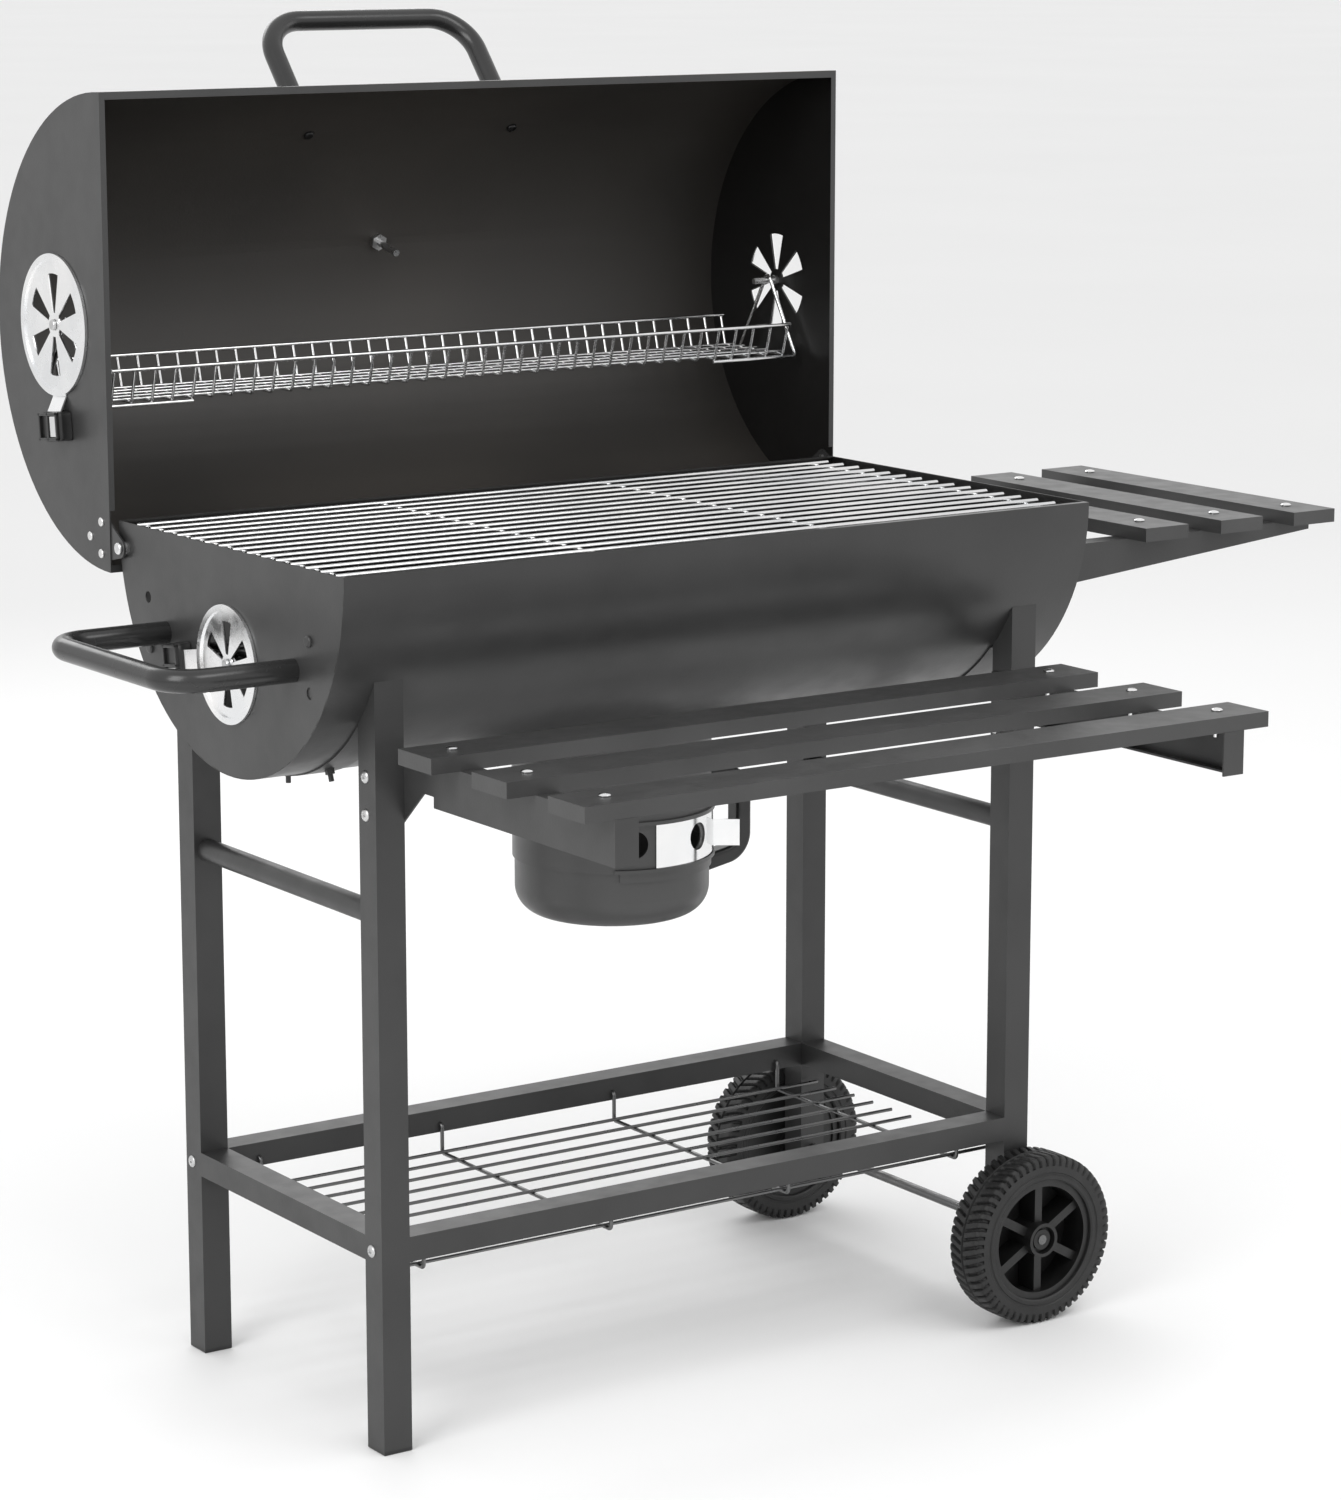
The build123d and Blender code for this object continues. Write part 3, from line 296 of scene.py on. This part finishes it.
def mesh_of(name, build, smooth_angle=40.0):
    """A mesh from a function that fills a bmesh, smooth except at sharp edges."""
    made = bpy.data.meshes.new(name)
    shape = bmesh.new()
    build(shape)
    bmesh.ops.remove_doubles(shape, verts=shape.verts, dist=1e-6)
    bmesh.ops.recalc_face_normals(shape, faces=shape.faces)
    limit = math.radians(smooth_angle)
    for face in shape.faces:
        face.smooth = True
    for edge in shape.edges:
        edge.smooth = len(edge.link_faces) == 2 and edge.calc_face_angle(0) < limit
    shape.to_mesh(made)
    shape.free()
    return made


def grid(shape, rows, closed_rows=False, closed_columns=False):
    """Quads over rows of points, joined round where closed."""
    verts = [[shape.verts.new(point) for point in row] for row in rows]
    last_row = len(verts) if closed_rows else len(verts) - 1
    count = len(verts[0])
    last = count if closed_columns else count - 1
    for i in range(last_row):
        upper, lower = verts[i], verts[(i + 1) % len(verts)]
        for j in range(last):
            k = (j + 1) % count
            shape.faces.new((upper[j], upper[k], lower[k], lower[j]))
    return verts


def islands(name):
    """The low and high corners of each separate solid of a CAD node."""
    shape = bmesh.new()
    shape.from_mesh(nodes[name].data)
    bmesh.ops.remove_doubles(shape, verts=shape.verts, dist=1e-6)
    seen, boxes = set(), []
    for start in shape.verts:
        if start in seen:
            continue
        group, queue = [], [start]
        seen.add(start)
        while queue:
            vert = queue.pop()
            group.append(vert.co.copy())
            for edge in vert.link_edges:
                other = edge.other_vert(vert)
                if other not in seen:
                    seen.add(other)
                    queue.append(other)
        low = Vector([min(point[i] for point in group) for i in range(3)])
        high = Vector([max(point[i] for point in group) for i in range(3)])
        boxes.append((low, high))
    shape.free()
    return boxes


# ---- tyres with tread lugs ----
LUGS = 58
STEPS_PER_LUG = 10
LUG_DEPTH, GROOVE_SHARE = 3.4 * MM, 0.30


def smooth_step(value, start, end):
    """0 before start, 1 after end, and smooth between."""
    t = min(1.0, max(0.0, (value - start) / (end - start)))
    return t * t * (3 - 2 * t)


def tyre_mesh(name, centre, outer, inner, width):
    """A tyre as one closed surface: side walls, shoulder lugs and a chevron tread."""
    half = width / 2
    section = []                      # (distance along the axle, radius, share of lug depth)
    side_steps = ((inner, -1.2, 0.0), (inner + 1.5 * MM, 0.0, 0.0), (inner + 5 * MM, 0.0, 0.0),
                  (inner + 5.8 * MM, -0.9, 0.0), (inner + 7.5 * MM, -0.9, 0.0),
                  (inner + 8.3 * MM, 0.0, 0.0), (outer - 10.5 * MM, 0.0, 0.0),
                  (outer - 10.0 * MM, 0.0, 1.0), (outer - 6.0 * MM, 0.0, 1.0),
                  (outer - 3.2 * MM, -0.9, 1.0), (outer - 1.2 * MM, -2.6, 1.0))
    for radius, step, depth in side_steps:
        section.append((-half - step * MM, radius, depth))
    tread_steps = 22
    for index in range(tread_steps + 1):
        across = -half + 4.4 * MM + index * (width - 8.8 * MM) / tread_steps
        crown = 0.7 * MM * (across / half) ** 2
        section.append((across, outer - crown, 1.0))
    for radius, step, depth in reversed(side_steps):
        section.append((half + step * MM, radius, depth))

    def build(shape):
        rows = []
        count = LUGS * STEPS_PER_LUG
        for index in range(count):
            angle = 2 * math.pi * index / count
            row = []
            for across, radius, depth in section:
                share = across / half
                lug = LUGS * angle / (2 * math.pi) + 0.85 * abs(share) + (0.5 if share > 0 else 0)
                phase = abs((lug % 1.0) - 0.5) * 2          # 1 at the middle of a groove
                groove = smooth_step(phase, 1 - GROOVE_SHARE - 0.12, 1 - GROOVE_SHARE + 0.06)
                rib = 1 - smooth_step(abs(share), 0.10, 0.16)
                middle = smooth_step(abs(share), 0.02, 0.05)
                cut = LUG_DEPTH * depth * max(groove * (1 - rib), (1 - middle))
                side_cut = groove * depth if abs(share) > 0.93 else 0.0
                shift = math.copysign(2.0 * MM * side_cut, across)
                row.append((across - shift, radius - cut, angle))
            rows.append([centre + Vector((r * math.cos(a), w, r * math.sin(a)))
                         for w, r, a in row])
        inner_rows = [[row[0], row[-1]] for row in rows]
        grid(shape, rows, closed_rows=True)
        grid(shape, inner_rows, closed_rows=True)

    return mesh_of(name, build, 32.0)


for which in ("front", "rear"):
    low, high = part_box("wheel_tyre_" + which)
    hub_low, hub_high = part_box("wheel_hub_" + which)
    middle = (low + high) / 2
    mesh = tyre_mesh("tyre_" + which, middle, (high.z - low.z) / 2, (hub_high.z - hub_low.z) / 2,
                     high.y - low.y)
    piece("tyre_" + which, mesh, rubber, "wheel_" + which, ["wheel_tyre_" + which])


# ---- dome screws ----
NUT_FROM_END, NUT_HEIGHT = 8.0 * MM, 4.5 * MM
CROSS_DEPTH = 0.55                # share of the dome


def add_screw(shape, seat, direction, radius, height, cross, parts):
    """A dome head with a cross recess if asked, and turned parts (from, to, radius, sides)."""
    turn = Vector(direction).to_track_quat("Z", "Y").to_matrix().to_4x4()
    place = Matrix.Translation(seat) @ turn
    rings, sides = 14, 40
    rows = []
    for ring in range(rings + 1):
        r = radius * ring / rings
        row = []
        for side in range(sides):
            a = 2 * math.pi * side / sides
            x, y = r * math.cos(a), r * math.sin(a)
            dome = height * math.sqrt(max(0.0, 1 - (r / radius) ** 2 * 0.94))
            arm = min(abs(x), abs(y)) / radius
            reach = max(abs(x), abs(y)) / radius
            recess = (1 - smooth_step(arm, 0.09, 0.16)) * (1 - smooth_step(reach, 0.44, 0.56))
            row.append(place @ Vector((x, y, dome - cross * height * recess)))
        rows.append(row)
    rows.append([place @ Vector((radius * math.cos(2 * math.pi * s / sides),
                                 radius * math.sin(2 * math.pi * s / sides), 0))
                 for s in range(sides)])
    grid(shape, rows, closed_columns=True)
    for start, end, part_radius, count in parts:
        ring = [(part_radius * math.cos(2 * math.pi * s / count),
                 part_radius * math.sin(2 * math.pi * s / count)) for s in range(count)]
        ends = [[place @ Vector((x, y, -z)) for x, y in ring] for z in (start, end)]
        verts = grid(shape, ends, closed_columns=True)
        shape.faces.new(verts[0])
        shape.faces.new(reversed(verts[1]))


def screws(name, node, material, along, height, cross):
    """Dome screws with nuts in place of a CAD node. Along gives each head's direction."""
    boxes = islands(node)

    def build(shape):
        for low, high in boxes:
            direction = along(low, high)
            axis = max(range(3), key=lambda i: abs(direction[i]))
            middle = (low + high) / 2
            others = [i for i in range(3) if i != axis]
            radius = max(high[i] - low[i] for i in others) / 2
            seat = middle.copy()
            seat[axis] = (high[axis] - height) if direction[axis] > 0 else (low[axis] + height)
            length = high[axis] - low[axis] - height
            shank = radius * 0.46
            nut = length - NUT_FROM_END
            add_screw(shape, seat, direction, radius, height, cross,
                      ((0.0, length, shank, 20), (nut, nut + NUT_HEIGHT, shank * 1.9, 6)))

    return piece(name, mesh_of(name, build, 38.0), material, "cart", [node])


screws("frame_screws", "frame_bolts", zinc,
       lambda low, high: Vector((1 if low.x + high.x > 2 * frame_middle else -1, 0, 0)),
       3.0 * MM, CROSS_DEPTH)
screws("slat_screws", "shelf_screws", chrome, lambda low, high: Vector((0, 0, 1)), 2.4 * MM, 0.0)


# ---- moulded vent grips ----
GRIP_LENGTH, GRIP_WIDTH, GRIP_REACH = 42 * MM, 30 * MM, 29 * MM
FRAME_BAR, WINDOW_DEPTH = 3.0 * MM, 3.0 * MM
FRAME_INSET, FRAME_SINK = 1.4 * MM, 0.4 * MM      # from the block's edge, and into its face
GRIP_SQUARENESS = 0.28                            # 1 is an ellipse, 0 a rectangle
INSERT_HALF_WIDTH, INSERT_START = 10 * MM, 2.2 * MM
INSERT_MARGIN, INSERT_DROP = 5 * MM, 1.0 * MM
VENTS = (("lid_vent", -96.0, 69.0), ("bowl_vent", -8.0, 56.0))    # tab angle, disc radius in mm


def grip_build(place, length, width, depth):
    """A rounded block with pinched sides and a softened outer edge."""
    def build(shape):
        around, deep = 64, 12
        rows = []
        for level in range(deep + 1):
            t = level / deep
            edge = 1 - 0.07 * smooth_step(t, 0.75, 1.0) - 0.03 * math.sin(math.pi * t)
            row = []
            for index in range(around):
                a = 2 * math.pi * index / around
                round_x, round_y = (math.copysign(abs(v) ** GRIP_SQUARENESS, v)
                                    for v in (math.cos(a), math.sin(a)))
                x, y = round_x * width / 2 * edge, round_y * length / 2 * edge
                row.append(place @ Vector((x, y, depth * t)))
            rows.append(row)
        verts = grid(shape, rows, closed_columns=True)
        shape.faces.new(verts[0])
        shape.faces.new(verts[-1])
    return build


def add_block(shape, place, low, high, bevel):
    """A bevelled block given by its corners in the place's own axes."""
    made = bmesh.ops.create_cube(shape, size=1.0)["verts"]
    low, high = Vector(low), Vector(high)
    size, middle = high - low, (low + high) / 2
    for vert in made:
        vert.co = Vector([vert.co[i] * size[i] for i in range(3)]) + middle
    edges = {edge for vert in made for edge in vert.link_edges}
    done = bmesh.ops.bevel(shape, geom=list(edges), offset=bevel, segments=3, affect="EDGES",
                           profile=0.6)
    verts = {v for face in done["faces"] for v in face.verts} | {v for v in made if v.is_valid}
    bmesh.ops.transform(shape, matrix=place, verts=list(verts))


for kind, tab, radius in VENTS:
    for side_name, side in (("left", -1), ("right", 1)):
        name = kind + "_" + side_name
        pivot = pivots[name + "_turn"]
        low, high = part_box(kind + "_grip_" + side_name)
        face_x = low.x if side > 0 else high.x
        outward = Vector((0, math.cos(math.radians(tab)), math.sin(math.radians(tab))))
        across = Vector((side, 0, 0)).cross(outward)
        place = Matrix.Identity(4)
        for column, vector in enumerate((outward, across, Vector((side, 0, 0)))):
            for row in range(3):
                place[row][column] = vector[row]
        middle = Vector((face_x, pivot.y, pivot.z)) + outward * (radius * MM + GRIP_REACH)
        place = Matrix.Translation(middle) @ place
        depth = high.x - low.x

        def grip(shape, place=place, depth=depth):
            """The block, and the frame that stands round its two windows."""
            grip_build(place, GRIP_LENGTH, GRIP_WIDTH, depth - WINDOW_DEPTH)(shape)
            x, y, bar = GRIP_WIDTH / 2 - FRAME_INSET, GRIP_LENGTH / 2 - FRAME_INSET, FRAME_BAR
            floor_z = depth - WINDOW_DEPTH - FRAME_SINK
            for low, high in (((-x, -y), (x, -y + bar)), ((-x, y - bar), (x, y)),
                              ((-x, -y), (-x + bar, y)), ((x - bar, -y), (x, y)),
                              ((-x, -bar / 2), (x, bar / 2))):
                add_block(shape, place, (*low, floor_z), (*high, depth), 0.6 * MM)

        def insert(shape, place=place, depth=depth):
            """The bright plate in the window on the across side."""
            floor_z = depth - WINDOW_DEPTH - FRAME_SINK
            add_block(shape, place, (-INSERT_HALF_WIDTH, INSERT_START, floor_z),
                      (INSERT_HALF_WIDTH, GRIP_LENGTH / 2 - INSERT_MARGIN, depth - INSERT_DROP),
                      0.5 * MM)

        piece(name + "_grip_moulded", mesh_of(name + "_grip_moulded", grip, 50.0), plastic,
              name, [kind + "_grip_" + side_name])
        piece(name + "_grip_insert", mesh_of(name + "_grip_insert", insert), chrome, name)


# ---- thermometer dial ----
gauge_low, gauge_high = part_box("thermometer")
GAUGE_ANGLE, GAUGE_STAND_OFF = 14.0, 16 * MM      # degrees above level, and off the lid
out = Vector((0, math.cos(math.radians(GAUGE_ANGLE)), math.sin(math.radians(GAUGE_ANGLE))))
axis_point = Vector((0, lid_axis[0], lid_axis[1]))
lid_radius = lid_high.y - lid_low.y
dial_point = axis_point + out * (lid_radius + GAUGE_STAND_OFF)
dial_point.x = (gauge_low.x + gauge_high.x) / 2
dial_place = Matrix.Translation(dial_point) @ out.to_track_quat("Z", "Y").to_matrix().to_4x4()


def bezel(shape):
    """The rolled ring round the dial."""
    profile = ((26, -0.5), (26, 1.2), (27, 2.2), (28.6, 2.2), (30.4, 1.2), (31.2, -1.0),
               (31.2, -4.0))
    rows = [[dial_place @ Vector((r * MM * math.cos(a), r * MM * math.sin(a), z * MM))
             for r, z in profile]
            for a in [2 * math.pi * index / 96 for index in range(96)]]
    grid(shape, rows, closed_rows=True)


def dial_marks(shape):
    """Tick marks round the dial, each a low bar."""
    for index in range(41):
        angle = math.radians(225 - index * 270 / 40)
        long_mark = index % 5 == 0
        turn = dial_place @ Matrix.Rotation(angle, 4, "Z")
        inner = 17.5 if long_mark else 20.0
        half = 0.45 if long_mark else 0.2
        add_block(shape, turn, (inner * MM, -half * MM, 0.0), (23.5 * MM, half * MM, 0.35 * MM),
                  0.05 * MM)


def needle(shape):
    """The pointer, and its boss."""
    turn = dial_place @ Matrix.Rotation(math.radians(215), 4, "Z")
    add_block(shape, turn, (-5 * MM, -0.6 * MM, 0.6 * MM), (19 * MM, 0.6 * MM, 1.1 * MM), 0.2 * MM)
    add_block(shape, turn, (-3 * MM, -3 * MM, 0.5 * MM), (3 * MM, 3 * MM, 1.6 * MM), 0.9 * MM)


def face_disc(shape):
    """The dial's face."""
    rows = [[dial_place @ Vector((r * MM * math.cos(a), r * MM * math.sin(a), 0.1 * MM))
             for a in [2 * math.pi * index / 72 for index in range(72)]] for r in (0.01, 13, 26)]
    grid(shape, rows, closed_columns=True)


dial_white = moulded("dial_enamel", 0.62, 0.35, 0.00002)
piece("dial_bezel", mesh_of("dial_bezel", bezel), chrome, "lid")
piece("dial_face", mesh_of("dial_face", face_disc), dial_white, "lid")
piece("dial_marks", mesh_of("dial_marks", dial_marks), plastic, "lid")
piece("dial_needle", mesh_of("dial_needle", needle), moulded("needle_paint", 0.05, 0.4), "lid")

# ---- floor and light ----
floor_mesh = bpy.data.meshes.new("floor")
FLOOR = 60.0
floor_mesh.from_pydata([(-FLOOR, -FLOOR, 0), (FLOOR, -FLOOR, 0), (FLOOR, FLOOR, 0),
                        (-FLOOR, FLOOR, 0)], [], [(0, 1, 2, 3)])
floor = bpy.data.objects.new("floor", floor_mesh)
bpy.context.scene.collection.objects.link(floor)
floor_nodes = Nodes("pale_floor")
floor_mesh.materials.append(floor_nodes.finish(
    Base_Color=floor_nodes.mix(floor_nodes.noise(0.6, 3.0), grey(0.80), grey(0.84)),
    Roughness=0.7))

world = bpy.data.worlds.new("studio")
bpy.context.scene.world = world
world.use_nodes = True
world.node_tree.nodes["Background"].inputs["Color"].default_value = (1.0, 1.0, 1.0, 1.0)
world.node_tree.nodes["Background"].inputs["Strength"].default_value = 1.0


def soft_light(name, place, aim, size, power, tint=(1.0, 1.0, 1.0)):
    """A square soft box aimed at a point."""
    data = bpy.data.lights.new(name, "AREA")
    data.shape, data.size, data.size_y = "RECTANGLE", size[0], size[1]
    data.energy, data.color = power, tint
    light = bpy.data.objects.new(name, data)
    bpy.context.scene.collection.objects.link(light)
    light.location = place
    light.rotation_euler = (Vector(aim) - Vector(place)).to_track_quat("-Z", "Y").to_euler()


soft_light("key_left", (-3.2, -1.2, 2.6), (0, 0, 0.8), (1.6, 2.6), 60)
soft_light("top_front", (0.4, -2.4, 3.4), (0, 0, 0.9), (3.0, 1.2), 40)
soft_light("right_fill", (3.4, -1.6, 1.4), (0, 0, 0.7), (1.4, 2.2), 10)
soft_light("rear_edge", (0.5, 3.2, 2.6), (0, 0, 0.9), (3.0, 1.4), 30)
bpy.context.scene.view_settings.view_transform = "Standard"
